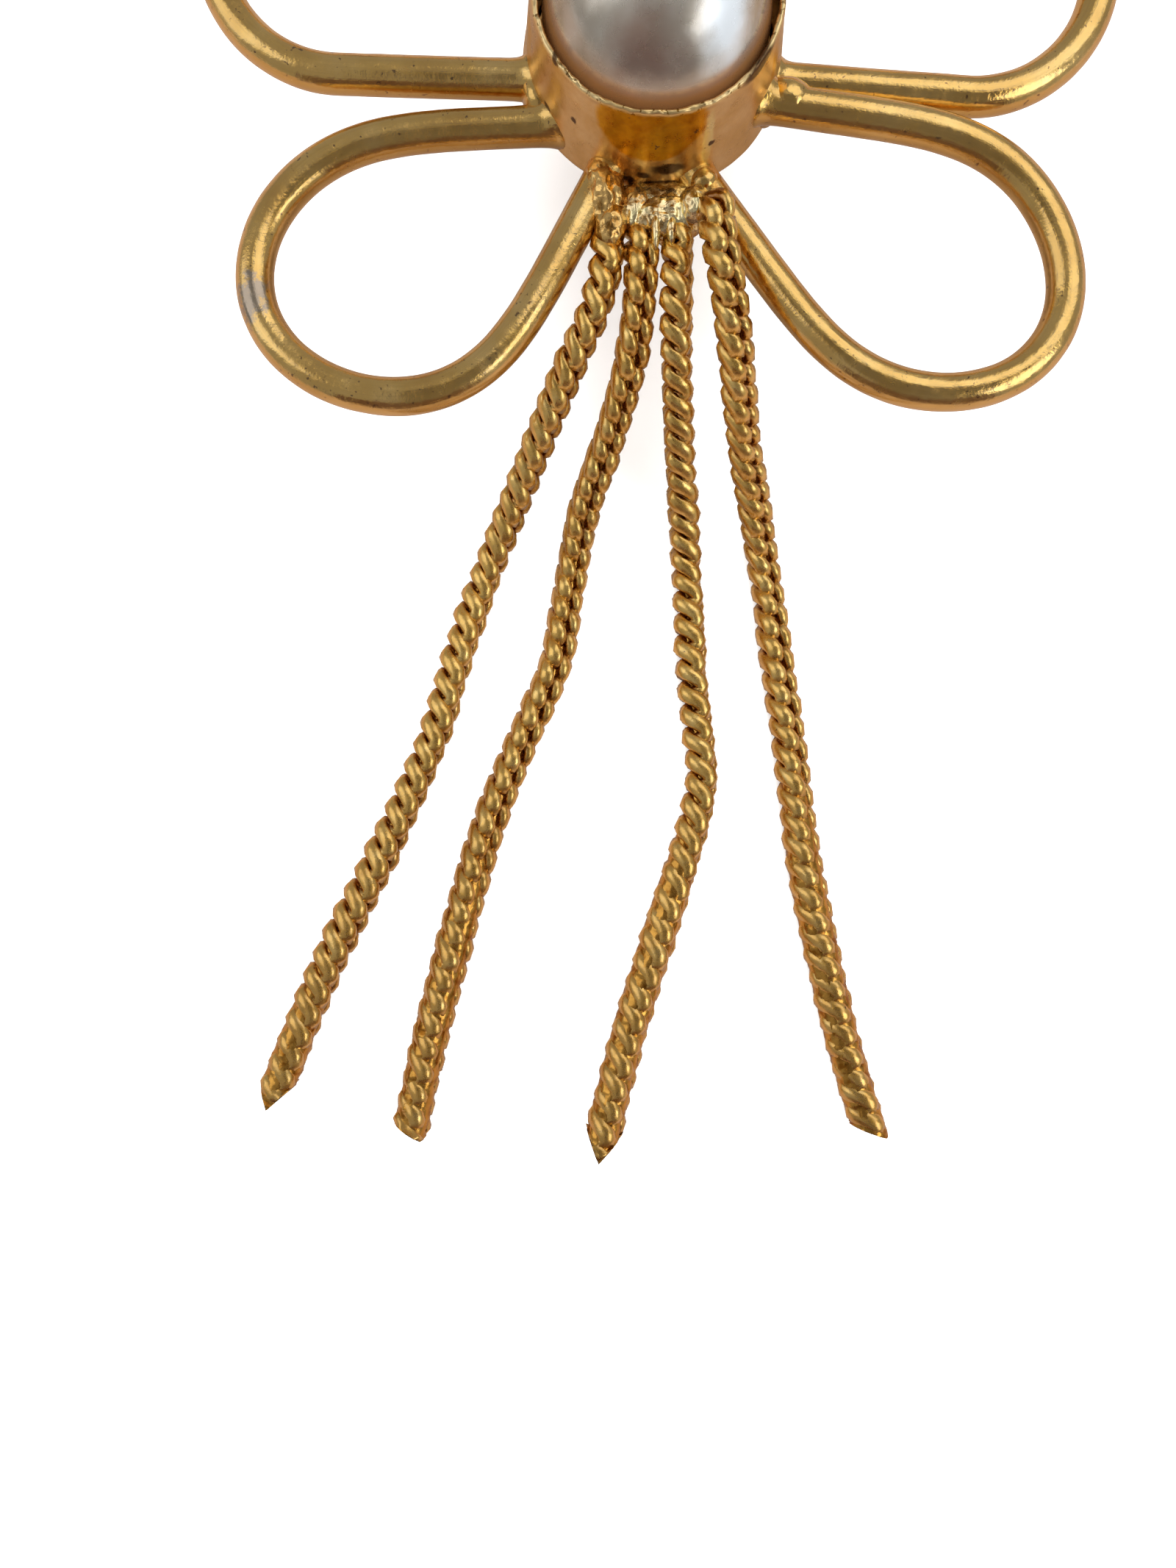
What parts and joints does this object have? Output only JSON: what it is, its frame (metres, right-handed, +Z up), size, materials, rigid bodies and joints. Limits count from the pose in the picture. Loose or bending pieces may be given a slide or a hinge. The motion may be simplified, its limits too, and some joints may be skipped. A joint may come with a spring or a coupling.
{
  "type": "tassel drop earring",
  "caption": "Drop earring with a flower of gold wire loops, a pearl in a deep cup and a tassel of fine chain strands.",
  "frame": {"origin": "middle of the earring's footprint box, on the surface it lies on", "axes": "+Y from the strands' tips to the top petal, +Z up from the ear side to the pearl"},
  "size_m": [0.0488, 0.0872, 0.0205],
  "materials": {
    "gold_wire": "polished gold plating on brass wire and solder",
    "gold_chain": "satin gold plating on fine chain",
    "pearl": "glossy grey-white pearl coat",
    "gold_post": "plain gold plating"
  },
  "bodies": {
    "root": {"flower_frame": "gold_wire", "pearl": "pearl", "chain_1": "gold_chain", "chain_2": "gold_chain", "chain_3": "gold_chain", "chain_4": "gold_chain", "ear_post": "gold_post"}
  },
  "joints": []
}
